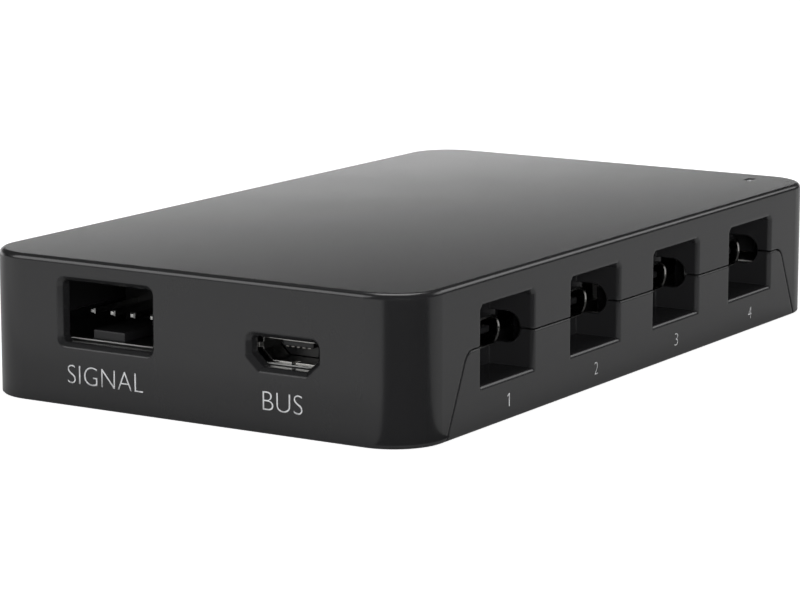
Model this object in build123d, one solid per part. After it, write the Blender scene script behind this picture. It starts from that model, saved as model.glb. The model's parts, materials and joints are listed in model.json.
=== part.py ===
from build123d import *
import math
import os

# Fan controller hub: a flat moulded case in two parts around one circuit board.
# The hub lies on its base. +X is the side with the row of fan sockets, -Y is the front with
# the fan header and the data socket, and +Z is up. The origin is at the middle of the base.
# All sizes are in millimetres.

# Case
case_width = 53.4
case_length = 91.4
case_height = 15.4
corner_radius = 5.6
top_edge_radius = 0.6
base_edge = 0.15
wall = 1.6
roof = 1.6
floor = 1.6
seam_gap = 0.15
front_mouth_edge = 0.5
pocket_mouth_radius = 0.5
seam_edge = 0.1

# Circuit board
board_bottom = 5.25
board_thickness = 1.6
board_edge_gap = 0.3
solder_side_reach = 1.0
leg_slot_gap = 0.1

# Fan sockets, in a row along the +X side
socket_count = 4
row_front_inset = 18.35
row_rear_inset = 17.55
shell_width = 8.94
shell_height = 3.16
shell_wall = 0.3
shell_length = 7.3
shell_lead_in = 0.12
shell_setback = 3.5
shell_leg_width = 0.9
shell_leg_inset = 0.9
shell_leg_spacing = 2.2
insert_gap = 0.05
insert_block_length = 2.4
insert_corner_chamfer = 1.0
tongue_width = 6.69
tongue_thickness = 0.7
tongue_setback = 0.6
tongue_tip_chamfer = 0.15
contact_pitch = 0.5
contact_width = 0.26
contact_thickness = 0.1
contact_tip_gap = 0.4
contact_slots = 12
contact_middle_count = 6

# Pockets that the fan sockets stand in
pocket_width = 10.4
pocket_height = 8.1
pocket_depth = 5.25
pocket_wall = 1.2
pocket_corner_cut = 0.4
window_gap = 0.15
latch_slot_height = 3.3

# Upright wall of the bottom cover, below the seam on the socket side
upstand_margin = 2.8
upstand_lean = 25
upstand_corner_radius = 1.6

# Data socket in the front
data_x = 11.6
data_setback = 2.05
data_shell_width = 7.6
data_shell_height = 2.7
data_shell_wall = 0.25
data_shell_length = 5.0
data_chamfer_width = 1.25
data_chamfer_height = 1.15
data_corner_radius = 0.4
data_mouth_gap = 0.17
data_slit_width = 0.45
data_slit_length = 0.9
data_flap_height = 0.5
data_flap_reach = 0.35
data_leg_width = 0.9
data_leg_inset = 1.1
data_leg_spacing = 2.3
data_block_length = 1.9
data_tongue_width = 3.6
data_tongue_thickness = 0.5
data_tongue_rise = 1.7
data_plate_thickness = 0.15
data_tongue_setback = 0.85
data_contact_count = 5
data_contact_pitch = 0.65
data_contact_width = 0.38

# Fan header in the front
header_x = -10.22
header_opening_width = 11.34
header_opening_drop = 0.25
header_opening_roof_gap = 0.7
header_opening_radius = 0.6
header_pin_count = 4
header_pin_pitch = 2.54
header_pin_size = 0.64
header_pin_rise = 2.75
header_pin_setback = 2.9
header_pin_reach = 7.5
header_pin_tip_chamfer = 0.17
header_pin_hole_gap = 0.15
header_side_margin = 1.27
header_block_length = 3.2
header_block_roof_gap = 1.15
header_bend_gap = 0.6
lock_plate_width = 3.95
lock_plate_thickness = 0.95
lock_plate_setback = 2.4
lock_plate_chamfer = 0.1

# Snap hooks on the bottom cover, and the ledges in the top cover that they catch on
hook_width = 4.0
hook_beam = 1.2
hook_gap = 0.15
hook_tip = 0.3
hook_nib_height = 1.1
hook_end_x = 18.2
hook_side_y = 26.0
ledge_top = 3.3
ledge_height = 1.1
ledge_tip = 0.4
ledge_reach = 0.6
ledge_side_gap = 0.4

# Rests that hold the board between the two covers
rest_size = 2.4
rest_inset = 3.0

# Status light near the far corner of the socket side
light_side_inset = 6.6
light_end_inset = 4.5
light_slot_length = 1.9
light_slot_width = 1.0
light_pipe_gap = 0.04
light_pipe_recess = 0.18
light_flange_width = 0.6
light_flange_height = 0.8
light_air_gap = 0.3
light_collar_gap = 0.1
light_collar_wall = 0.8
light_collar_lift = 0.3
led_length = 1.6
led_width = 0.8
led_height = 0.6

# Parts soldered to the top of the board
controller_size = 7.0
controller_height = 0.9
controller_x = -6.0
controller_y = -8.0
crystal_length = 3.2
crystal_width = 2.5
crystal_height = 0.8
crystal_gap = 2.0
driver_size = 3.3
driver_height = 1.0
driver_gap = 3.8
regulator_length = 5.0
regulator_width = 4.0
regulator_height = 1.4
inductor_size = 6.6
inductor_height = 3.0
inductor_chamfer = 0.9
inductor_edge_inset = 8.8
inductor_y = 22.0
supply_gap = 2.5
bulk_length = 7.3
bulk_width = 4.3
bulk_height = 2.8
bulk_spacing = 9.0
bulk_count = 3
bulk_edge_inset = 6.3
bulk_first_y = -10.0
chip_length = 1.6
chip_width = 0.8
chip_height = 0.8
chip_spacing = 1.6

# How far a cutting tool runs past what it cuts, and how near to a face an edge counts as on it
overrun = 1.0
near = 0.001

# Places worked out from the sizes above
front = -case_length / 2
side = case_width / 2
roof_under = case_height - roof
board_top = board_bottom + board_thickness
seam_height = board_top + shell_height / 2
upstand_top = seam_height - seam_gap / 2
cover_edge = seam_height + seam_gap / 2
pocket_back = side - pocket_depth
pocket_rear = pocket_back - pocket_wall
board_right = pocket_rear - board_edge_gap
board_left = wall + board_edge_gap - side
shell_mouth = side - shell_setback
shell_rear = shell_mouth - shell_length
socket_row_shift = (row_front_inset - row_rear_inset) / 2
socket_pitch = (case_length - row_front_inset - row_rear_inset) / (socket_count - 1)
row_half = (socket_count - 1) / 2 * socket_pitch
socket_ys = [front + row_front_inset + i * socket_pitch for i in range(socket_count)]
row_reach = row_half + pocket_width / 2
header_pin_xs = [
    header_x + (i - (header_pin_count - 1) / 2) * header_pin_pitch for i in range(header_pin_count)
]
header_pin_height = board_top + header_pin_rise
header_tip = front + header_pin_setback
header_block_front = header_tip + header_pin_reach
header_block_rear = header_block_front + header_block_length
header_bend = header_block_rear + header_bend_gap + header_pin_size / 2
header_opening_low = board_top - header_opening_drop
header_opening_high = roof_under - header_opening_roof_gap
rest_places = [
    (x, socket_row_shift + step * socket_pitch)
    for x in (board_left + rest_inset, board_right - rest_inset)
    for step in (-1, 1)
]
light_x = side - light_side_inset
light_y = case_length / 2 - light_end_inset


def block(x0, x1, y0, y1, z0, z1):
    """Box between two opposite corners."""
    middle = Pos((x0 + x1) / 2, (y0 + y1) / 2, (z0 + z1) / 2)
    return middle * Box(x1 - x0, y1 - y0, z1 - z0)


def slab(inset, z0, z1):
    """Upright block with the case's outline, moved inwards by inset."""
    outline = RectangleRounded(case_width - 2 * inset, case_length - 2 * inset, corner_radius - inset)
    return extrude(Pos(0, 0, z0) * outline, z1 - z0)


def along_x(sketch, y, z, x0, x1):
    """Section in Y and Z, drawn about (y, z) and run from x0 to x1."""
    return extrude(Plane.YZ.offset(x0) * Pos(y, z) * sketch, x1 - x0, dir=(1, 0, 0))


def along_y(sketch, x, z, y0, y1):
    """Section in X and Z, drawn about (x, z) and run from y0 to y1."""
    return extrude(Plane.XZ.offset(-y0) * Pos(x, z) * sketch, y1 - y0, dir=(0, 1, 0))


def case_form():
    """Outside of the closed case."""
    form = slab(0, 0, case_height)
    form = chamfer(form.faces().sort_by(Axis.Z)[0].edges(), base_edge)
    return fillet(form.faces().sort_by(Axis.Z)[-1].edges(), top_edge_radius)


def upstand_outline():
    """Wall of the bottom cover seen from +X: a wide foot that leans in to the seam."""
    top_half = row_reach + upstand_margin
    foot_half = top_half + upstand_top * math.tan(math.radians(upstand_lean))
    corners = [(-foot_half, 0), (foot_half, 0), (top_half, upstand_top), (-top_half, upstand_top)]
    outline = Polygon(*corners, align=None)
    return fillet(outline.vertices().group_by(Axis.Y)[-1], upstand_corner_radius)


def pocket_cuts(y):
    """What is cut away round one fan socket: pocket, socket window and latch slots."""
    mouth = Rectangle(pocket_width, pocket_height)
    mouth = chamfer(mouth.vertices().group_by(Axis.Y)[-1], pocket_corner_cut)
    void = along_x(mouth, y, seam_height, pocket_back, side + overrun)
    window_outline = SlotOverall(shell_width + 2 * window_gap, shell_height + 2 * window_gap)
    window = along_x(window_outline, y, seam_height, pocket_rear - overrun, pocket_back + overrun)
    nose = side - wall - latch_slot_height / 2
    slot = Pos(nose, 0) * Circle(latch_slot_height / 2)
    slot += Pos((nose + pocket_back) / 2, 0) * Rectangle(nose - pocket_back, latch_slot_height)
    reach = pocket_width / 2 + pocket_wall + overrun
    latch = along_y(slot, 0, seam_height, y - reach, y + reach)
    return [void, window, latch]


def pocket_block(y, z0, z1):
    """Plastic that one half of a pocket is formed in."""
    half = pocket_width / 2 + pocket_wall
    return block(pocket_rear, side - wall / 2, y - half, y + half, z0, z1)


def pocket_mouth_edges(cover):
    """Outer edges of the pockets, on the +X face of a cover."""
    edges = cover.edges().filter_by_position(Axis.X, side - near, side + near)
    reach_z = pocket_height / 2 + near
    edges = edges.filter_by_position(Axis.Z, seam_height - reach_z, seam_height + reach_z)
    reach_y = pocket_width / 2 + near
    found = ShapeList()
    for y in socket_ys:
        found += edges.filter_by_position(Axis.Y, y - reach_y, y + reach_y)
    return found


def front_mouth_edges(cover):
    """Outer edges of the openings in the front face, without the outline of that face."""
    edges = cover.edges().filter_by_position(Axis.Y, front - near, front + near)
    edges = edges.filter_by_position(Axis.Z, base_edge + near, case_height - top_edge_radius - near)
    flat_half = side - corner_radius - near
    return edges.filter_by_position(Axis.X, -flat_half, flat_half)


def data_outline():
    """Section of the data socket, standing on the board: its lower corners are cut off."""
    half = data_shell_width / 2
    foot = half - data_chamfer_width
    corners = [
        (-foot, 0),
        (foot, 0),
        (half, data_chamfer_height),
        (half, data_shell_height),
        (-half, data_shell_height),
        (-half, data_chamfer_height),
    ]
    outline = Polygon(*corners, align=None)
    return fillet(outline.vertices().group_by(Axis.Y)[-1], data_corner_radius)


def front_mouths():
    """Openings in the front wall, for the fan header and the data socket."""
    header_height = header_opening_high - header_opening_low
    header_middle = (header_opening_high + header_opening_low) / 2
    header_mouth = RectangleRounded(header_opening_width, header_height, header_opening_radius)
    inside = front + wall + overrun
    data_mouth = offset(data_outline(), data_mouth_gap, kind=Kind.INTERSECTION)
    return [
        along_y(header_mouth, header_x, header_middle, front - overrun, inside),
        along_y(data_mouth, data_x, board_top, front - overrun, inside),
    ]


def light_block(grow, z0, z1):
    """Upright bar with the section of the light slot, moved outwards by grow."""
    half_x = light_slot_width / 2 + grow
    half_y = light_slot_length / 2 + grow
    return block(light_x - half_x, light_x + half_x, light_y - half_y, light_y + half_y, z0, z1)


def hook_places():
    """For each snap hook: the turn that faces its wall, that wall's distance, and the place along it."""
    end = case_length / 2 - wall
    left = case_width / 2 - wall
    pairs = [(0, end, hook_end_x), (180, end, hook_end_x), (-90, left, hook_side_y)]
    return [(turn, reach, step * along) for turn, reach, along in pairs for step in (-1, 1)]


def on_wall(outline, width, place):
    """Section drawn inwards and upwards from the foot of a wall's inner face, run along that wall."""
    turn, reach, along = place
    bar = along_x(outline, -reach, 0, along - width / 2, along + width / 2)
    return Rot(0, 0, turn) * bar


def ledge_outline():
    """Ledge on a wall of the top cover: flat on top, and sloped below to let a hook pass."""
    corners = [
        (-wall / 2, ledge_top),
        (ledge_reach, ledge_top),
        (ledge_reach, ledge_top - ledge_tip),
        (0, ledge_top - ledge_height),
        (-wall / 2, ledge_top - ledge_height),
    ]
    return Polygon(*corners, align=None)


def hook_outline():
    """Upright spring of the bottom cover, with the nib that reaches over a ledge."""
    outer = ledge_reach + hook_gap
    catch = ledge_top + hook_gap
    corners = [
        (outer, floor / 2),
        (outer + hook_beam, floor / 2),
        (outer + hook_beam, catch + hook_nib_height),
        (outer, catch + hook_nib_height),
        (hook_gap, catch + hook_tip),
        (hook_gap, catch),
        (outer, catch),
    ]
    return Polygon(*corners, align=None)


def board_rest(place, z0, z1):
    """Square post that meets the board from above or below."""
    x, y = place
    half = rest_size / 2
    return block(x - half, x + half, y - half, y + half, z0, z1)


def make_top_cover():
    """Roof and walls, with the upper halves of the pockets and a collar that keeps the status light in."""
    cover = case_form() - slab(wall, -overrun, roof_under)
    gap_outline = offset(upstand_outline(), seam_gap, kind=Kind.INTERSECTION)
    cover -= along_x(gap_outline, socket_row_shift, 0, side - wall - overrun, side + overrun)
    cover += [pocket_block(y, cover_edge, roof_under + roof / 2) for y in socket_ys]
    cover += [board_rest(place, board_top, roof_under + roof / 2) for place in rest_places]
    ledge_width = hook_width + 2 * ledge_side_gap
    cover += [on_wall(ledge_outline(), ledge_width, place) for place in hook_places()]
    for y in socket_ys:
        cover -= pocket_cuts(y)
    cover -= front_mouths()
    collar_low = board_top + light_collar_lift
    collar_inside = light_flange_width + light_collar_gap
    cover += light_block(collar_inside + light_collar_wall, collar_low, roof_under + roof / 2)
    cover -= light_block(collar_inside, collar_low - overrun, roof_under)
    cover -= light_block(0, roof_under - overrun, case_height + overrun)
    cover = chamfer(front_mouth_edges(cover), front_mouth_edge)
    return fillet(pocket_mouth_edges(cover), pocket_mouth_radius)


def make_upstand():
    """Upright wall of the bottom cover, with its edges broken along the seam."""
    upright = along_x(upstand_outline(), socket_row_shift, 0, side - wall, side + overrun) & case_form()
    seam_edges = upright.faces().sort_by(Axis.X)[-1].edges().sort_by(Axis.Z)[1:]
    return chamfer(seam_edges, seam_edge)


def make_bottom_cover():
    """Base plate and upright wall, with the lower halves of the pockets, the rests and the hooks."""
    cover = slab(wall + seam_gap, 0, floor)
    foot = along_x(upstand_outline(), socket_row_shift, 0, side - 2 * wall, side - wall / 2)
    cover += [make_upstand(), foot & slab(0, 0, floor)]
    cover += [pocket_block(y, 0, upstand_top) for y in socket_ys]
    cover += [board_rest(place, floor / 2, board_bottom) for place in rest_places]
    cover += [on_wall(hook_outline(), hook_width, place) for place in hook_places()]
    for y in socket_ys:
        cover -= pocket_cuts(y)
    return fillet(pocket_mouth_edges(cover), pocket_mouth_radius)


def shell_legs(gap, z0, z1):
    """The four legs of one fan socket, at its own row and grown by gap."""
    first = board_right - shell_leg_inset
    half = shell_width / 2
    legs = []
    for x in (first, first - shell_leg_spacing):
        for y0, y1 in ((-half, shell_wall - half), (half - shell_wall, half)):
            reach = shell_leg_width / 2 + gap
            legs.append(block(x - reach, x + reach, y0 - gap, y1 + gap, z0, z1))
    return legs


def contact_places():
    """Y of each contact slot of one fan socket."""
    return [(i - (contact_slots - 1) / 2) * contact_pitch for i in range(contact_slots)]


def make_socket_shell():
    """Formed metal tube with its mouth towards +X, on four legs."""
    tube = SlotOverall(shell_width, shell_height)
    tube -= SlotOverall(shell_width - 2 * shell_wall, shell_height - 2 * shell_wall)
    shell = along_x(tube, 0, seam_height, shell_rear, shell_mouth)
    mouth_edges = shell.faces().sort_by(Axis.X)[-1].inner_wires()[0].edges()
    shell = chamfer(mouth_edges, shell_lead_in)
    return shell + shell_legs(0, board_bottom - solder_side_reach, seam_height)


def make_socket_insert():
    """Moulded block that closes the shell's rear, with the tongue that carries the contacts."""
    inner = 2 * (shell_wall + insert_gap)
    outline = Rectangle(shell_width - inner, shell_height - inner)
    outline = chamfer(outline.vertices(), insert_corner_chamfer)
    block_front = shell_rear + insert_block_length
    body = along_x(outline, 0, seam_height, shell_rear, block_front)
    tongue_tip = shell_mouth - tongue_setback
    half = tongue_width / 2
    low = seam_height - tongue_thickness / 2
    tongue = block(block_front, tongue_tip, -half, half, low, low + tongue_thickness)
    tongue = chamfer(tongue.faces().sort_by(Axis.X)[-1].edges(), tongue_tip_chamfer)
    return body + tongue


def make_socket_contacts():
    """Contact pads on both faces of the tongue."""
    block_front = shell_rear + insert_block_length
    tip = shell_mouth - tongue_setback - contact_tip_gap
    half = contact_width / 2
    places = contact_places()
    spare = (contact_slots - contact_middle_count) // 2
    bars = []
    for y in [places[0], *places[spare:-spare], places[-1]]:
        top = seam_height + tongue_thickness / 2
        bars.append(block(block_front, tip, y - half, y + half, top, top + contact_thickness))
        low = seam_height - tongue_thickness / 2
        bars.append(block(block_front, tip, y - half, y + half, low - contact_thickness, low))
    return bars


def data_legs(gap, z0, z1):
    """The four legs of the data socket, grown by gap."""
    first = front + data_setback + data_leg_inset
    half = data_shell_width / 2
    legs = []
    for y in (first, first + data_leg_spacing):
        for x0, x1 in ((-half, data_shell_wall - half), (half - data_shell_wall, half)):
            reach = data_leg_width / 2 + gap
            legs.append(block(data_x + x0 - gap, data_x + x1 + gap, y - reach, y + reach, z0, z1))
    return legs


def data_flaps():
    """Small tabs at both sides of the data socket's mouth, bent outwards to lead the plug in."""
    mouth = front + data_setback
    inner = data_shell_width / 2 - data_shell_wall
    corners = [
        (inner, mouth),
        (inner + data_flap_reach, mouth - data_flap_reach),
        (inner + data_flap_reach + data_shell_wall, mouth - data_flap_reach),
        (inner + data_shell_wall, mouth),
    ]
    low = board_top + (data_chamfer_height + data_shell_height - data_corner_radius - data_flap_height) / 2
    flap = extrude(Pos(0, 0, low) * Polygon(*corners, align=None), data_flap_height)
    return [Pos(data_x, 0, 0) * flap, Pos(data_x, 0, 0) * mirror(flap, Plane.YZ)]


def make_data_shell():
    """Formed metal tube with its mouth towards -Y; its bottom edge is split in the middle."""
    mouth = front + data_setback
    tube = data_outline() - offset(data_outline(), -data_shell_wall)
    shell = along_y(tube, data_x, board_top, mouth, mouth + data_shell_length)
    leg_top = board_top + (data_chamfer_height + data_shell_height) / 2
    shell += data_legs(0, board_bottom - solder_side_reach, leg_top)
    shell += data_flaps()
    half = data_slit_width / 2
    slit_top = board_top + data_shell_wall + insert_gap
    return shell - block(
        data_x - half, data_x + half, mouth - overrun, mouth + data_slit_length, board_top - overrun, slit_top
    )


def make_data_insert():
    """Moulded block in the rear of the data socket, with its tongue near the top."""
    mouth = front + data_setback
    rear = mouth + data_shell_length
    inner = offset(data_outline(), -data_shell_wall - insert_gap)
    body = along_y(inner, data_x, board_top, rear - data_block_length, rear)
    half = data_tongue_width / 2
    low = board_top + data_tongue_rise
    tip = mouth + data_tongue_setback
    block_front = rear - data_block_length
    tongue = block(data_x - half, data_x + half, tip, block_front, low, low + data_tongue_thickness)
    return body + tongue


def make_data_plate():
    """Thin metal plate that stiffens the data socket's tongue from above."""
    mouth = front + data_setback
    block_front = mouth + data_shell_length - data_block_length
    half = data_tongue_width / 2
    low = board_top + data_tongue_rise + data_tongue_thickness
    return block(
        data_x - half, data_x + half, mouth + data_tongue_setback, block_front, low, low + data_plate_thickness
    )


def make_data_contacts():
    """Contact pads under the data socket's tongue."""
    mouth = front + data_setback
    tip = mouth + data_tongue_setback
    block_front = mouth + data_shell_length - data_block_length
    top = board_top + data_tongue_rise
    half = data_contact_width / 2
    bars = []
    for i in range(data_contact_count):
        x = data_x + (i - (data_contact_count - 1) / 2) * data_contact_pitch
        bars.append(block(x - half, x + half, tip, block_front, top - contact_thickness, top))
    return bars


def header_pin(x):
    """Square pin that comes out of the header towards -Y and bends down through the board."""
    half = header_pin_size / 2
    low = header_pin_height - half
    reach = block(x - half, x + half, header_tip, header_bend + half, low, low + header_pin_size)
    reach = chamfer(reach.faces().sort_by(Axis.Y)[0].edges(), header_pin_tip_chamfer)
    foot = board_bottom - solder_side_reach
    return reach + block(x - half, x + half, header_bend - half, header_bend + half, foot, low + half)


def make_header_housing():
    """Moulded block that holds the pins, with the lock plate below the first three of them."""
    half = (header_pin_count - 1) / 2 * header_pin_pitch + header_side_margin
    top = roof_under - header_block_roof_gap
    housing = block(header_x - half, header_x + half, header_block_front, header_block_rear, board_top, top)
    lock_x = header_pin_xs[1]
    lock_half = lock_plate_width / 2
    lock_front = front + lock_plate_setback
    lock_top = board_top + lock_plate_thickness
    lock = block(lock_x - lock_half, lock_x + lock_half, lock_front, header_block_front, board_top, lock_top)
    tip_edge = lock.faces().sort_by(Axis.Y)[0].edges().sort_by(Axis.Z)[-1]
    housing += chamfer(tip_edge, lock_plate_chamfer)
    pin_half = header_pin_size / 2
    low = header_pin_height - pin_half
    for x in header_pin_xs:
        housing -= block(
            x - pin_half, x + pin_half, header_block_front - overrun, header_block_rear + overrun,
            low, low + header_pin_size,
        )
    return housing


def make_board():
    """Circuit board inside the walls, cut back on the +X side to clear the pockets."""
    board = slab(wall + board_edge_gap, board_bottom, board_top)
    reach = row_reach + pocket_wall + board_edge_gap
    low = board_bottom - overrun
    high = board_top + overrun
    board -= block(board_right, side, socket_row_shift - reach, socket_row_shift + reach, low, high)
    for y in socket_ys:
        board -= [Pos(0, y, 0) * leg for leg in shell_legs(leg_slot_gap, low, high)]
    board -= data_legs(leg_slot_gap, low, high)
    half = header_pin_size / 2 + header_pin_hole_gap
    for x in header_pin_xs:
        board -= block(x - half, x + half, header_bend - half, header_bend + half, low, high)
    return board


def make_light_pipe():
    """Clear bar in the roof slot, with a flange under the roof, down to just above the light."""
    foot = board_top + led_height + light_air_gap
    pipe = light_block(-light_pipe_gap, foot, case_height - light_pipe_recess)
    return pipe + light_block(light_flange_width, roof_under - light_flange_height, roof_under)


def on_board(x, y, length, width, height):
    """Plain moulded package that stands on the board, with its length along Y."""
    half_x = width / 2
    half_y = length / 2
    return block(x - half_x, x + half_x, y - half_y, y + half_y, board_top, board_top + height)


def make_inductor():
    """Moulded block with its upright edges cut off."""
    x = board_left + inductor_edge_inset
    body = on_board(x, inductor_y, inductor_size, inductor_size, inductor_height)
    return chamfer(body.edges().filter_by(Axis.Z), inductor_chamfer)


def make_bulk_capacitors():
    """Row of supply capacitors along the board's -X edge."""
    x = board_left + bulk_edge_inset
    places = [bulk_first_y + i * bulk_spacing for i in range(bulk_count)]
    return [on_board(x, y, bulk_length, bulk_width, bulk_height) for y in places]


def make_drivers():
    """One driver behind each fan socket."""
    x = shell_rear - driver_gap - driver_size / 2
    return [on_board(x, y, driver_size, driver_size, driver_height) for y in socket_ys]


def make_chip_capacitors():
    """A pair of small capacitors beside each fan driver."""
    x = shell_rear - driver_gap - driver_size - chip_spacing
    places = [(x, y + step * chip_spacing / 2) for y in socket_ys for step in (-1, 1)]
    return [on_board(x, y, chip_width, chip_length, chip_height) for x, y in places]


def fan_socket_nodes():
    """Shell, insert and contacts of each fan socket, numbered along +Y."""
    made = {}
    shell = make_socket_shell()
    insert = make_socket_insert()
    contacts = make_socket_contacts()
    for number, y in enumerate(socket_ys, 1):
        place = Pos(0, y, 0)
        made[f"fan_socket_{number}_shell"] = place * shell
        made[f"fan_socket_{number}_insert"] = place * insert
        made[f"fan_socket_{number}_contacts"] = Compound(children=[place * bar for bar in contacts])
    return made


def all_nodes():
    crystal_y = controller_y + (controller_size + crystal_length) / 2 + crystal_gap
    inductor_right = board_left + inductor_edge_inset + inductor_size / 2
    regulator_x = inductor_right + supply_gap + regulator_width / 2
    nodes = {
        "top_cover": make_top_cover(),
        "bottom_cover": make_bottom_cover(),
        "circuit_board": make_board(),
        "data_socket_shell": make_data_shell(),
        "data_socket_insert": make_data_insert(),
        "data_socket_plate": make_data_plate(),
        "data_socket_contacts": Compound(children=make_data_contacts()),
        "fan_header_housing": make_header_housing(),
        "fan_header_pins": Compound(children=[header_pin(x) for x in header_pin_xs]),
        "light_pipe": make_light_pipe(),
        "status_led": on_board(light_x, light_y, led_length, led_width, led_height),
        "controller_chip": on_board(
            controller_x, controller_y, controller_size, controller_size, controller_height
        ),
        "crystal": on_board(controller_x, crystal_y, crystal_length, crystal_width, crystal_height),
        "fan_drivers": Compound(children=make_drivers()),
        "regulator_chip": on_board(
            regulator_x, inductor_y, regulator_length, regulator_width, regulator_height
        ),
        "power_inductor": make_inductor(),
        "bulk_capacitors": Compound(children=make_bulk_capacitors()),
        "ceramic_capacitors": Compound(children=make_chip_capacitors()),
    }
    nodes.update(fan_socket_nodes())
    return nodes


os.makedirs("parts", exist_ok=True)
for name, shape in all_nodes().items():
    export_step(shape, f"parts/{name}.step")
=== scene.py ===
# %% [markdown]
# # A fan controller hub on a white sweep
# The hub is a flat black case, moulded in two parts, with four fan sockets in deep pockets along
# one side and a fan header and a small data socket in front. The solids are already made in CAD,
# so this lesson gives them their finishes, adds what is printed on them, and lights and frames them.

# %% Load the solids
import json
import math

import bpy
from mathutils import Matrix, Vector


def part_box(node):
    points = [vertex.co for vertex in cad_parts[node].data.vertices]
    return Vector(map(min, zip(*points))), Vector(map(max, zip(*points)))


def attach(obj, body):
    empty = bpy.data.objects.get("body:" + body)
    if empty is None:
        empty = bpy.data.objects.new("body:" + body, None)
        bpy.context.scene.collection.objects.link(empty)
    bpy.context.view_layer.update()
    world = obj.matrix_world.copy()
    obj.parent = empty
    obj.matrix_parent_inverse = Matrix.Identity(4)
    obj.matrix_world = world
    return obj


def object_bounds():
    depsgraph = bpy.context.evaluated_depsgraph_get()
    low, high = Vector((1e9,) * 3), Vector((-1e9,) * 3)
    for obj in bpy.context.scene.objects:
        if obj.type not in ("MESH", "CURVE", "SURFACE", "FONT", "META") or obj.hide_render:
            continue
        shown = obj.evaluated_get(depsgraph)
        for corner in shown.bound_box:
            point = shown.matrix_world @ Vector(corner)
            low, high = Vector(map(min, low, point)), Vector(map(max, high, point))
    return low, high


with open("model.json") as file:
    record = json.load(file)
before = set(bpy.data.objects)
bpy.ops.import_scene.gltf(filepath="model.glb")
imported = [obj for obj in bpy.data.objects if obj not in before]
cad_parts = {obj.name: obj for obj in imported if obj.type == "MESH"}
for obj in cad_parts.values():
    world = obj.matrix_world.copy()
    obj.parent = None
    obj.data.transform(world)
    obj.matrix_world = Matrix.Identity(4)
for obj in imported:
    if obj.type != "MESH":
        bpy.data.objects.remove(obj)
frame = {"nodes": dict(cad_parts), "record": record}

nodes = frame["nodes"]
cad_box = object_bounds()
MM = 0.001
print("solids:", len(nodes), "CAD box:", cad_box)


# %% [markdown]
# ## Two small tools for materials
# Colours are written as they look on a screen, in sRGB hex, and the shader wants them linear, so one
# function turns one into the other. The second function adds a shader node, fills in its settings
# and joins it to the nodes before it. With these two, each material reads as a short recipe.

# %% Colour and node tools
def linear(hex_colour):
    """The linear RGBA of an sRGB hex colour."""
    channels = [int(hex_colour[i:i + 2], 16) / 255 for i in (0, 2, 4)]
    return [c / 12.92 if c <= 0.04045 else ((c + 0.055) / 1.055) ** 2.4 for c in channels] + [1.0]


def add(tree, kind, settings=None, links=None):
    """Adds a node. Settings are properties or socket values, links are sockets to join to its inputs."""
    node = tree.nodes.new(kind)
    for name, value in (settings or {}).items():
        if name in node.bl_rna.properties.keys():
            setattr(node, name, value)
        else:
            node.inputs[name].default_value = value
    for name, socket in (links or {}).items():
        tree.links.new(socket, node.inputs[name])
    return node


def new_material(name):
    """An empty material and its output node."""
    material = bpy.data.materials.new(name)
    material.use_nodes = True
    material.node_tree.nodes.clear()
    return material, material.node_tree, add(material.node_tree, "ShaderNodeOutputMaterial")


print("white is", linear("ffffff"))

# %% [markdown]
# ## The case: ABS with a fine spark-eroded texture
# The mould's steel is etched by sparks, which leaves the plastic with a fine even grain. That grain
# spreads every reflection, so the case shows wide soft gradients and no mirror image. Real grain of
# this kind is about 0.05 mm, too fine for this picture, so it is drawn at 0.16 mm and kept shallow.
# A moulded edge is never sharp either: the Bevel node rounds the light on each edge, by more on the
# lips of the openings than on the rim of the roof, whose roundness is already in the solid.

# %% Case plastic
CASE_GRAIN = 0.16 * MM
CASE_CLOUD = 14 * MM
GRAIN_DEPTH = 0.02 * MM
RIM_ROUND = 0.12 * MM
LIP_ROUND = 0.30 * MM
RIM_DEPTH = 1.0 * MM
roof_z = cad_box[1].z


def make_case_plastic():
    """Textured ABS: nearly black, with soft reflections and a thin line of light on each edge."""
    material, tree, output = new_material("textured_abs")
    place = add(tree, "ShaderNodeTexCoord").outputs["Object"]
    grain = add(tree, "ShaderNodeTexNoise", {"Scale": 1 / CASE_GRAIN, "Detail": 2.0}, {"Vector": place})
    cloud = add(tree, "ShaderNodeTexNoise", {"Scale": 1 / CASE_CLOUD, "Detail": 3.0}, {"Vector": place})
    height = add(tree, "ShaderNodeSeparateXYZ", links={"Vector": place})
    rounding = add(
        tree, "ShaderNodeMapRange",
        {
            "From Min": roof_z - 2 * RIM_DEPTH, "From Max": roof_z - RIM_DEPTH,
            "To Min": LIP_ROUND, "To Max": RIM_ROUND,
        },
        {"Value": height.outputs["Z"]},
    )
    edge = add(tree, "ShaderNodeBevel", {"samples": 8}, {"Radius": rounding.outputs["Result"]})
    bump = add(
        tree, "ShaderNodeBump", {"Strength": 0.12, "Distance": GRAIN_DEPTH},
        {"Height": grain.outputs["Fac"], "Normal": edge.outputs["Normal"]},
    )
    # The ramp runs over the whole noise, so no edge of a cloud shows on the smooth roof.
    tone = add(tree, "ShaderNodeValToRGB", links={"Fac": cloud.outputs["Fac"]})
    tone.color_ramp.elements[0].color = linear("202021")
    tone.color_ramp.elements[1].color = linear("252526")
    # A slow change of polish keeps the wide reflections from looking like paint.
    sheen = add(
        tree, "ShaderNodeMapRange", {"To Min": 0.205, "To Max": 0.235}, {"Value": cloud.outputs["Fac"]}
    )
    plastic = add(
        tree, "ShaderNodeBsdfPrincipled", {"IOR": 1.53},
        {
            "Base Color": tone.outputs["Color"],
            "Roughness": sheen.outputs["Result"],
            "Normal": bump.outputs["Normal"],
        },
    )
    tree.links.new(plastic.outputs["BSDF"], output.inputs["Surface"])
    return material


case_plastic = make_case_plastic()
print("case:", case_plastic.name)

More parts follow.
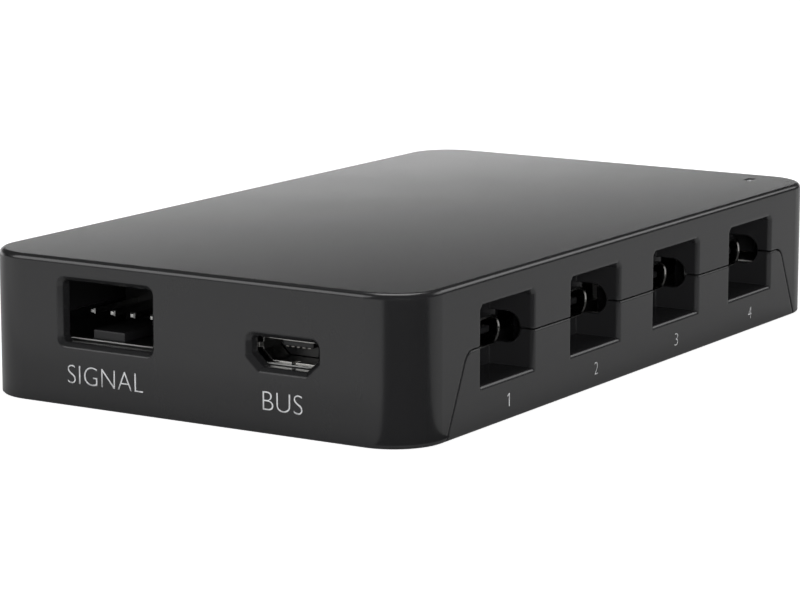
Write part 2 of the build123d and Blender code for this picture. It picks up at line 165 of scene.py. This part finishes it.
# %% [markdown]
# ## The metals: nickel on steel, tin on the pins, palladium nickel on the contacts
# The socket shells are stamped from steel strip and plated with nickel, so they keep faint drawn
# lines from the press. The header pins are square wire with bright tin, and the contacts have a thin
# grey flash of palladium nickel. All three are plain metals that differ in colour, polish and how
# fine their lines are.

# %% Plated metals
METAL_ROUND = 0.06 * MM
METAL_POLISH_SPREAD = 0.05
RAMP_LOW = 0.3
RAMP_HIGH = 0.7


def make_plating(name, light, dark, polish, line_width, line_length):
    """Plated strip: a bright metal whose fine lines along Y break up its reflections."""
    material, tree, output = new_material(name)
    place = add(tree, "ShaderNodeTexCoord").outputs["Object"]
    lines_per_metre = (1 / line_width, 1 / line_length, 1 / line_width)
    stretch = add(tree, "ShaderNodeMapping", {"Scale": lines_per_metre}, {"Vector": place})
    lines = add(
        tree, "ShaderNodeTexNoise", {"Scale": 1.0, "Detail": 2.0}, {"Vector": stretch.outputs["Vector"]}
    )
    tone = add(tree, "ShaderNodeValToRGB", links={"Fac": lines.outputs["Fac"]})
    tone.color_ramp.elements[0].position = RAMP_LOW
    tone.color_ramp.elements[0].color = linear(dark)
    tone.color_ramp.elements[1].position = RAMP_HIGH
    tone.color_ramp.elements[1].color = linear(light)
    rough = add(
        tree, "ShaderNodeMapRange",
        {"To Min": polish - METAL_POLISH_SPREAD, "To Max": polish + METAL_POLISH_SPREAD},
        {"Value": lines.outputs["Fac"]},
    )
    # Stamped edges are a little round, so they catch the light.
    edge = add(tree, "ShaderNodeBevel", {"samples": 6, "Radius": METAL_ROUND})
    metal = add(
        tree, "ShaderNodeBsdfPrincipled", {"Metallic": 1.0},
        {
            "Base Color": tone.outputs["Color"],
            "Roughness": rough.outputs["Result"],
            "Normal": edge.outputs["Normal"],
        },
    )
    tree.links.new(metal.outputs["BSDF"], output.inputs["Surface"])
    return material


# Nickel is a bright, slightly warm silver that mirrors what is round it.
socket_steel = make_plating(
    "nickel_plated_steel", light="d2d1ce", dark="bab9b5",
    polish=0.16, line_width=0.08 * MM, line_length=3.0 * MM,
)
# Tin is a neutral and softer silver.
pin_tin = make_plating(
    "tin_plated_wire", light="c4c4c2", dark="a8a8a6",
    polish=0.22, line_width=0.05 * MM, line_length=4.0 * MM,
)
# Palladium nickel is greyer and duller than both.
contact_plating = make_plating(
    "palladium_nickel_contact", light="a9a7a2", dark="8c8a86",
    polish=0.30, line_width=0.05 * MM, line_length=1.0 * MM,
)
print("metals:", socket_steel.name, pin_tin.name, contact_plating.name)

# %% [markdown]
# ## The other plastics and resins
# The connectors are black glass-filled nylon, and inside are moulded resin on the chips, fired ceramic
# on the small capacitors and clear resin on the status light. Each is slightly speckled, so one recipe
# serves them all, with its own two shades, polish and grain size.

# %% Speckled plastics
PLASTIC_ROUND = 0.12 * MM
PLASTIC_POLISH_SPREAD = 0.06
SPECKLE_DEPTH = 0.02 * MM


def make_speckled(name, light, dark, polish, grain):
    """Moulded plastic or resin: a fine speckle in colour, polish and surface dulls its reflections."""
    material, tree, output = new_material(name)
    place = add(tree, "ShaderNodeTexCoord").outputs["Object"]
    speckle = add(tree, "ShaderNodeTexNoise", {"Scale": 1 / grain, "Detail": 3.0}, {"Vector": place})
    tone = add(tree, "ShaderNodeValToRGB", links={"Fac": speckle.outputs["Fac"]})
    tone.color_ramp.elements[0].position = RAMP_LOW
    tone.color_ramp.elements[0].color = linear(dark)
    tone.color_ramp.elements[1].position = RAMP_HIGH
    tone.color_ramp.elements[1].color = linear(light)
    rough = add(
        tree, "ShaderNodeMapRange",
        {"To Min": polish - PLASTIC_POLISH_SPREAD, "To Max": polish + PLASTIC_POLISH_SPREAD},
        {"Value": speckle.outputs["Fac"]},
    )
    edge = add(tree, "ShaderNodeBevel", {"samples": 6, "Radius": PLASTIC_ROUND})
    bump = add(
        tree, "ShaderNodeBump", {"Strength": 0.15, "Distance": SPECKLE_DEPTH},
        {"Height": speckle.outputs["Fac"], "Normal": edge.outputs["Normal"]},
    )
    plastic = add(
        tree, "ShaderNodeBsdfPrincipled", {"IOR": 1.5},
        {
            "Base Color": tone.outputs["Color"],
            "Roughness": rough.outputs["Result"],
            "Normal": bump.outputs["Normal"],
        },
    )
    tree.links.new(plastic.outputs["BSDF"], output.inputs["Surface"])
    return material


# Glass-filled nylon is black with a soft sheen, a little darker than the case.
connector_plastic = make_speckled(
    "glass_filled_nylon", light="1f1f20", dark="161617", polish=0.34, grain=0.12 * MM
)
# Chip resin is a matt black.
package_resin = make_speckled("chip_resin", light="232325", dark="18181a", polish=0.58, grain=0.10 * MM)
# Fired ceramic is tan and half matt.
ceramic = make_speckled("fired_ceramic", light="a98560", dark="8e6d4b", polish=0.5, grain=0.2 * MM)
# The resin of the status light is a glossy cream.
led_resin = make_speckled("led_resin", light="d8d4c4", dark="c9c4b2", polish=0.22, grain=0.3 * MM)
print("plastics:", connector_plastic.name, package_resin.name, ceramic.name, led_resin.name)

# %% [markdown]
# ## The circuit board
# The board is glass-fibre laminate with black solder mask on its faces. Its cut edges are dark. Along the
# top of the front edge a pale tin-coloured line is painted, drawn as a copper plane's tinned foil and
# serving as a painted
# highlight: it shows in the header's opening as a thin bright line. The material tells faces from edges by
# their normal, and finds the painted line by height, on front-facing edges only.

# %% Board laminate
BOARD_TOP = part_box("circuit_board")[1].z
PAINTED_LINE_HEIGHT = 0.12 * MM
WEAVE = 0.6 * MM
FACES_FRONT = -0.5


def make_board_laminate():
    """Solder mask on the faces, dull dark laminate on the edges, and a painted highlight line in front."""
    material, tree, output = new_material("solder_masked_laminate")
    coordinates = add(tree, "ShaderNodeTexCoord")
    place = coordinates.outputs["Object"]
    weave = add(tree, "ShaderNodeTexNoise", {"Scale": 1 / WEAVE, "Detail": 2.0}, {"Vector": place})
    facing = add(tree, "ShaderNodeSeparateXYZ", links={"Vector": coordinates.outputs["Normal"]})
    flat = add(tree, "ShaderNodeMath", {"operation": "ABSOLUTE"}, {0: facing.outputs["Z"]})
    mask = add(tree, "ShaderNodeValToRGB", links={"Fac": weave.outputs["Fac"]})
    mask.color_ramp.elements[0].color = linear("0b0c0c")
    mask.color_ramp.elements[1].color = linear("121413")
    height = add(tree, "ShaderNodeSeparateXYZ", links={"Vector": place})
    upper = add(
        tree, "ShaderNodeMath", {"operation": "GREATER_THAN", 1: BOARD_TOP - PAINTED_LINE_HEIGHT}, {0: height.outputs["Z"]}
    )
    front = add(tree, "ShaderNodeMath", {"operation": "LESS_THAN", 1: FACES_FRONT}, {0: facing.outputs["Y"]})
    # Painted highlight: a pale band at the top of the front-facing edges only, standing in for the lit top
    # edge.
    painted_line = add(
        tree, "ShaderNodeMath", {"operation": "MULTIPLY"},
        {0: upper.outputs["Value"], 1: front.outputs["Value"]},
    )
    edge_with_painted_line = add(
        tree, "ShaderNodeMixRGB",
        {"Color1": linear("0e0e0e"), "Color2": linear("a2a2a0")}, {"Fac": painted_line.outputs["Value"]},
    )
    tone = add(
        tree, "ShaderNodeMixRGB",
        links={
            "Fac": flat.outputs["Value"],
            "Color1": edge_with_painted_line.outputs["Color"],
            "Color2": mask.outputs["Color"],
        },
    )
    rough = add(
        tree, "ShaderNodeMapRange", {"To Min": 0.7, "To Max": 0.32}, {"Value": flat.outputs["Value"]}
    )
    laminate = add(
        tree, "ShaderNodeBsdfPrincipled", {"IOR": 1.5},
        {"Base Color": tone.outputs["Color"], "Roughness": rough.outputs["Result"]},
    )
    tree.links.new(laminate.outputs["BSDF"], output.inputs["Surface"])
    return material


board_laminate = make_board_laminate()
print("board:", board_laminate.name)

# %% [markdown]
# ## The light pipe
# The small bar in the roof leads the status light out. It is polycarbonate with a white filler that
# spreads the light, so it looks milky: nearly white, softly glossy, with little light passing through.

# %% Milky light pipe
HAZE = 0.5 * MM


def make_light_pipe_plastic():
    """Filled polycarbonate: a white bar that stands out from the black roof."""
    material, tree, output = new_material("milky_polycarbonate")
    place = add(tree, "ShaderNodeTexCoord").outputs["Object"]
    haze = add(tree, "ShaderNodeTexNoise", {"Scale": 1 / HAZE, "Detail": 2.0}, {"Vector": place})
    rough = add(tree, "ShaderNodeMapRange", {"To Min": 0.3, "To Max": 0.42}, {"Value": haze.outputs["Fac"]})
    tone = add(tree, "ShaderNodeValToRGB", links={"Fac": haze.outputs["Fac"]})
    tone.color_ramp.elements[0].color = linear("eceeef")
    tone.color_ramp.elements[1].color = linear("f8f9f9")
    plastic = add(
        tree, "ShaderNodeBsdfPrincipled", {"IOR": 1.58, "Transmission Weight": 0.04},
        {"Base Color": tone.outputs["Color"], "Roughness": rough.outputs["Result"]},
    )
    tree.links.new(plastic.outputs["BSDF"], output.inputs["Surface"])
    return material


clear_plastic = make_light_pipe_plastic()
print("light pipe:", clear_plastic.name)

# %% [markdown]
# ## Give every solid its finish
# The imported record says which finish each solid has, by the name of a slot. One table joins the slots
# to the materials above, so no solid can be missed.

# %% Assign the finishes
finishes = {
    "case_plastic": case_plastic,
    "board_laminate": board_laminate,
    "socket_steel": socket_steel,
    "connector_plastic": connector_plastic,
    "contact_plating": contact_plating,
    "pin_tin": pin_tin,
    "clear_plastic": clear_plastic,
    "led_resin": led_resin,
    "package_resin": package_resin,
    "ceramic": ceramic,
}
for part in frame["record"]["subparts"]:
    mesh = nodes[part["node"]].data
    mesh.materials.clear()
    mesh.materials.append(finishes[part["material_slot"]])

# %% [markdown]
# ## The printing
# The sockets are numbered and the two front openings are labelled, in thin pale ink from a pad
# printer. A pad leaves a layer about as thick as paint, so each word is a text object, thinned to
# the stroke of the print, made a mesh, stood up on its face and given a hair of thickness.

# %% Print ink
INK_GRAIN = 0.12 * MM


def make_ink():
    """Pad print: a matt pale grey that covers a little unevenly."""
    material, tree, output = new_material("pad_print_ink")
    place = add(tree, "ShaderNodeTexCoord").outputs["Object"]
    grain = add(tree, "ShaderNodeTexNoise", {"Scale": 1 / INK_GRAIN, "Detail": 2.0}, {"Vector": place})
    tone = add(tree, "ShaderNodeValToRGB", links={"Fac": grain.outputs["Fac"]})
    tone.color_ramp.elements[0].color = linear("cbccce")
    tone.color_ramp.elements[1].color = linear("e4e5e6")
    ink = add(
        tree, "ShaderNodeBsdfPrincipled",
        {"IOR": 1.48, "Roughness": 0.55}, {"Base Color": tone.outputs["Color"]},
    )
    tree.links.new(ink.outputs["BSDF"], output.inputs["Surface"])
    return material


print_ink = make_ink()
print("ink:", print_ink.name)

# %% Two tools for print
INK_THICKNESS = 0.01 * MM
LETTER_THINNING = -0.02
CURVE_STEPS = 6


def write_word(name, word):
    """Flat letters of the built-in font, thinned to a fine stroke."""
    bpy.ops.object.select_all(action="DESELECT")
    bpy.ops.object.text_add()
    text = bpy.context.object
    text.name = name
    text.data.body = word
    text.data.align_x = "CENTER"
    text.data.offset = LETTER_THINNING
    text.data.resolution_u = CURVE_STEPS
    bpy.ops.object.convert(target="MESH")
    return bpy.context.object


def lay_ink(piece, width, height, centre, turn):
    """Makes a flat sign that wide and high, stands it at a point of a face and gives it thickness."""
    low = Vector([min(v.co[i] for v in piece.data.vertices) for i in range(3)])
    high = Vector([max(v.co[i] for v in piece.data.vertices) for i in range(3)])
    middle = (low + high) / 2
    size = Matrix.Diagonal((width / (high.x - low.x), height / (high.y - low.y), 1, 1))
    piece.data.transform(Matrix.Translation(centre) @ turn @ size @ Matrix.Translation(-middle))
    bpy.ops.object.mode_set(mode="EDIT")
    bpy.ops.mesh.select_all(action="SELECT")
    bpy.ops.mesh.normals_make_consistent(inside=False)
    bpy.ops.object.mode_set(mode="OBJECT")
    layer = piece.modifiers.new("layer", "SOLIDIFY")
    layer.thickness = INK_THICKNESS
    layer.offset = 1
    bpy.ops.object.modifier_apply(modifier=layer.name)
    piece.data.materials.clear()
    piece.data.materials.append(print_ink)
    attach(piece, "root")


print("ink layer:", INK_THICKNESS / MM, "mm")

# %% Words on the front
case_low, case_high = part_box("top_cover")
ON_FRONT = Matrix.Rotation(math.radians(90), 4, "X")
ON_SIDE = Matrix.Rotation(math.radians(90), 4, "Z") @ ON_FRONT
front_y = case_low.y
side_x = case_high.x
WORD_HEIGHT = 1.95 * MM
HEADER_WORD_WIDTH = 9.6 * MM
HEADER_WORD_PLACE = Vector((-10.3 * MM, front_y, 3.39 * MM))
DATA_WORD_WIDTH = 4.75 * MM
DATA_WORD_PLACE = Vector((11.6 * MM, front_y, 3.38 * MM))

header_word = write_word("label_header", "SIGNAL")
lay_ink(header_word, HEADER_WORD_WIDTH, WORD_HEIGHT, HEADER_WORD_PLACE, ON_FRONT)
data_word = write_word("label_data", "BUS")
lay_ink(data_word, DATA_WORD_WIDTH, WORD_HEIGHT, DATA_WORD_PLACE, ON_FRONT)
print("printed:", header_word.name, data_word.name)

# %% [markdown]
# ## The numbers
# Each fan socket has its number printed under the pocket. The built-in font draws a 1 as a bare bar,
# so the 1 is drawn here: a small square, pulled down into a stem and then aside into a flag.

# %% Numbers on the side
NUMBER_HEIGHT = 1.37 * MM
NUMBER_STROKE = 0.16 * MM
NUMBER_RISE = 2.01 * MM
NUMBER_SHIFT = 0.2 * MM
number_widths = {1: 0.42 * MM, 2: 0.8 * MM, 3: 0.8 * MM, 4: 0.85 * MM}


def draw_one(name):
    """A square, of which one edge is pulled down and another aside."""
    bpy.ops.object.select_all(action="DESELECT")
    bpy.ops.mesh.primitive_plane_add(size=NUMBER_STROKE)
    piece = bpy.context.object
    piece.name = name
    stem = (0, NUMBER_STROKE - NUMBER_HEIGHT, 0)
    flag = (NUMBER_STROKE - number_widths[1], -NUMBER_STROKE, 0)
    for axis, pull in ((1, stem), (0, flag)):
        bpy.ops.object.mode_set(mode="EDIT")
        bpy.ops.mesh.select_all(action="DESELECT")
        bpy.ops.object.mode_set(mode="OBJECT")
        for vertex in piece.data.vertices:
            vertex.select = vertex.co[axis] < 0 and vertex.co.y > -NUMBER_STROKE
        bpy.ops.object.mode_set(mode="EDIT")
        bpy.ops.mesh.extrude_region_move(TRANSFORM_OT_translate={"value": pull})
        bpy.ops.object.mode_set(mode="OBJECT")
    return piece


for number, width in number_widths.items():
    sign = draw_one("number_1") if number == 1 else write_word(f"number_{number}", str(number))
    shell_low, shell_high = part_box(f"fan_socket_{number}_shell")
    shell_middle = (shell_low.y + shell_high.y) / 2
    lay_ink(sign, width, NUMBER_HEIGHT, Vector((side_x, shell_middle + NUMBER_SHIFT, NUMBER_RISE)), ON_SIDE)
print("printed:", len(number_widths), "numbers")

# %% [markdown]
# ## The studio
# The photograph is a product shot on pure white. The case is black and satin, so what shows on it is
# mostly what it reflects, and each face is lit by what lies in its mirror direction. The roof mirrors
# the horizon behind on the left. A low white card stands there, turned so that its upper edge runs
# over the roof as a soft gradient. The front mirrors the floor before it, where a pale card lies. The
# corner towards the camera mirrors the floor between them, and a black flag there gives it a dark band.

# %% Paper and card
def make_paper(name, glow, seen_glow):
    """White paper: it takes light and shadow, and glows a little to the camera and in reflections."""
    material, tree, output = new_material(name)
    path = add(tree, "ShaderNodeLightPath")
    seen = add(
        tree, "ShaderNodeMath", {"operation": "MAXIMUM"},
        {0: path.outputs["Is Glossy Ray"], 1: path.outputs["Is Transmission Ray"]},
    )
    mirrored = add(
        tree, "ShaderNodeMath", {"operation": "MULTIPLY", 1: seen_glow}, {0: seen.outputs["Value"]}
    )
    direct = add(
        tree, "ShaderNodeMath", {"operation": "MULTIPLY", 1: glow}, {0: path.outputs["Is Camera Ray"]}
    )
    strength = add(
        tree, "ShaderNodeMath", {"operation": "ADD"},
        {0: mirrored.outputs["Value"], 1: direct.outputs["Value"]},
    )
    shine = add(
        tree, "ShaderNodeEmission", {"Color": linear("ffffff")}, {"Strength": strength.outputs["Value"]}
    )
    matt = add(tree, "ShaderNodeBsdfDiffuse", {"Color": linear("c8c8c8")})
    both = add(tree, "ShaderNodeAddShader", links={0: shine.outputs["Emission"], 1: matt.outputs["BSDF"]})
    tree.links.new(both.outputs["Shader"], output.inputs["Surface"])
    return material


def make_flag_card():
    """Black card: a dull dark grey that takes the light out of a reflection."""
    material, tree, output = new_material("black_card")
    matt = add(tree, "ShaderNodeBsdfDiffuse", {"Color": linear("303030")})
    tree.links.new(matt.outputs["BSDF"], output.inputs["Surface"])
    return material


def stage_plane(name, width, depth, material):
    """Flat plane of the studio, at the origin."""
    bpy.ops.object.select_all(action="DESELECT")
    bpy.ops.mesh.primitive_plane_add(size=1)
    plane = bpy.context.object
    plane.name = name
    plane.data.transform(Matrix.Diagonal((width, depth, 1, 1)))
    plane.data.materials.append(material)
    return plane


def show_in_reflections_only(card):
    card.visible_camera = False
    card.visible_diffuse = False
    card.visible_shadow = False


print("studio box of the case:", case_low, case_high)

# %% Floor and front card
FLOOR_SIZE = 20
FLOOR_DROP = 0.05 * MM
FRONT_WIDTH = 0.26
FRONT_DEPTH = 0.30
FRONT_NEAR = 0.064
FRONT_LIFT = 0.2 * MM

floor_paper = make_paper("white_paper_floor", glow=0.85, seen_glow=0.05)
floor = stage_plane("floor", FLOOR_SIZE, FLOOR_SIZE, floor_paper)
floor.data.transform(Matrix.Translation((0, 0, -FLOOR_DROP)))
front_paper = make_paper("glowing_card", glow=0.0, seen_glow=0.28)
front_card = stage_plane("front_card", FRONT_WIDTH, FRONT_DEPTH, front_paper)
front_card.data.transform(Matrix.Translation((0, -FRONT_NEAR - FRONT_DEPTH / 2, FRONT_LIFT)))
show_in_reflections_only(front_card)
print("studio:", floor.name, front_card.name)

# %% Black flag
# The flag is a wedge that opens from the middle of the rounded corner, so its image is an upright band.
CORNER_RADIUS = 5.6 * MM
FLAG_REACH = 0.30
FLAG_LIFT = 0.4 * MM
FLAG_FROM = math.radians(12)
FLAG_TO = math.radians(106)
flag_middle = Vector((case_high.x - CORNER_RADIUS, case_low.y + CORNER_RADIUS, FLAG_LIFT))
# A plane lists its corners as near left, near right, far left and far right.
flag_corners = [
    (CORNER_RADIUS, FLAG_FROM), (CORNER_RADIUS, FLAG_TO), (FLAG_REACH, FLAG_FROM), (FLAG_REACH, FLAG_TO)
]

black_flag = stage_plane("black_flag", 1, 1, make_flag_card())
for vertex, (distance, azimuth) in zip(black_flag.data.vertices, flag_corners):
    vertex.co = flag_middle + distance * Vector((math.sin(azimuth), -math.cos(azimuth), 0))
show_in_reflections_only(black_flag)
print("studio:", black_flag.name)

# %% Back card
BACK_TURN = math.radians(62)
BACK_DISTANCE = 0.118
BACK_SHIFT = 0.08
BACK_WIDTH = 0.36
BACK_HEIGHT = 0.0355

back_paper = make_paper("white_card", glow=0.85, seen_glow=0.86)
back_card = stage_plane("back_card", BACK_WIDTH, BACK_HEIGHT, back_paper)
back_card.data.transform(ON_FRONT)
back_card.data.transform(Matrix.Translation((BACK_SHIFT, BACK_DISTANCE, BACK_HEIGHT / 2)))
back_card.data.transform(Matrix.Rotation(BACK_TURN, 4, "Z"))
print("studio:", back_card.name)

# %% [markdown]
# ## The lights
# Four softboxes stand round the hub. The left one lights the front, and shows along the rounded rim
# as a thin bright line. One behind on the right lights the socket side, and one overhead lights the
# light pipe and the paper. The fill faces the corner between the front and the sockets, so its light
# reaches into the openings on both sides. It gives no highlight, as behind a crossed polariser in a
# real studio, so the corner that faces it stays dark.

# %% Lights
def soft_light(name, azimuth, elevation, distance, width, height, watts):
    """Softbox seen from the hub at that azimuth from the front, towards the socket side, and elevation."""
    turn = math.radians(azimuth)
    rise = math.radians(elevation)
    direction = Vector((math.sin(turn) * math.cos(rise), -math.cos(turn) * math.cos(rise), math.sin(rise)))
    data = bpy.data.lights.new(name, "AREA")
    data.shape = "RECTANGLE"
    data.size = width
    data.size_y = height
    data.energy = watts
    lamp = bpy.data.objects.new(name, data)
    bpy.context.scene.collection.objects.link(lamp)
    facing = direction.to_track_quat("Z", "Y").to_matrix().to_4x4()
    lamp.matrix_world = Matrix.Translation(direction * distance) @ facing
    return lamp


left_box = soft_light(
    "left_softbox", azimuth=-40, elevation=28, distance=0.7, width=0.45, height=0.42, watts=1.5
)
right_box = soft_light(
    "right_softbox", azimuth=148, elevation=27, distance=0.7, width=0.45, height=0.25, watts=0.6
)
top_box = soft_light(
    "top_softbox", azimuth=200, elevation=78, distance=0.9, width=0.6, height=0.6, watts=4.0
)
fill_box = soft_light(
    "fill_softbox", azimuth=45, elevation=12, distance=0.8, width=0.5, height=0.25, watts=4.0
)
fill_box.visible_glossy = False
print("lights:", left_box.name, right_box.name, top_box.name, fill_box.name)

# %% [markdown]
# ## The world
# To the camera the background is plain white, as in the photograph. To the hub it is a dim room, so
# that the black case stays black and keeps its dark reflections.

# %% World
ROOM_LEVEL = 0.06
world = bpy.data.worlds.new("studio")
bpy.context.scene.world = world
world.use_nodes = True
room = world.node_tree
room.nodes.clear()
path = add(room, "ShaderNodeLightPath")
level = add(
    room, "ShaderNodeMapRange",
    {"To Min": ROOM_LEVEL, "To Max": 1.0}, {"Value": path.outputs["Is Camera Ray"]},
)
sky = add(room, "ShaderNodeBackground", {"Color": linear("ffffff")}, {"Strength": level.outputs["Result"]})
add(room, "ShaderNodeOutputWorld", links={"Surface": sky.outputs["Background"]})
print("world:", world.name)

# %% [markdown]
# ## The camera
# The photograph's camera was solved from the outline of the case: a long lens from the right of the
# front, a little above the roof. A long lens keeps the far sockets almost as large as the near ones.

# %% Camera
CAMERA_PLACE = Vector((188.400, -306.849, 72.634)) * MM
CAMERA_AZIMUTH = math.radians(31.986)
CAMERA_ELEVATION = math.radians(10.585)
FOCAL_LENGTH = 146.738
SENSOR_WIDTH = 36.0
back = Vector((
    math.sin(CAMERA_AZIMUTH) * math.cos(CAMERA_ELEVATION),
    -math.cos(CAMERA_AZIMUTH) * math.cos(CAMERA_ELEVATION),
    math.sin(CAMERA_ELEVATION),
))
lens = bpy.data.cameras.new("product_camera")
lens.sensor_fit = "HORIZONTAL"
lens.sensor_width = SENSOR_WIDTH
lens.lens = FOCAL_LENGTH
lens.clip_start = 0.01
lens.clip_end = 50
camera = bpy.data.objects.new("product_camera", lens)
bpy.context.scene.collection.objects.link(camera)
camera.matrix_world = Matrix.Translation(CAMERA_PLACE) @ back.to_track_quat("Z", "Y").to_matrix().to_4x4()
bpy.context.scene.camera = camera
bpy.context.scene.view_settings.view_transform = "Standard"
print("camera at", [round(v, 4) for v in camera.location])
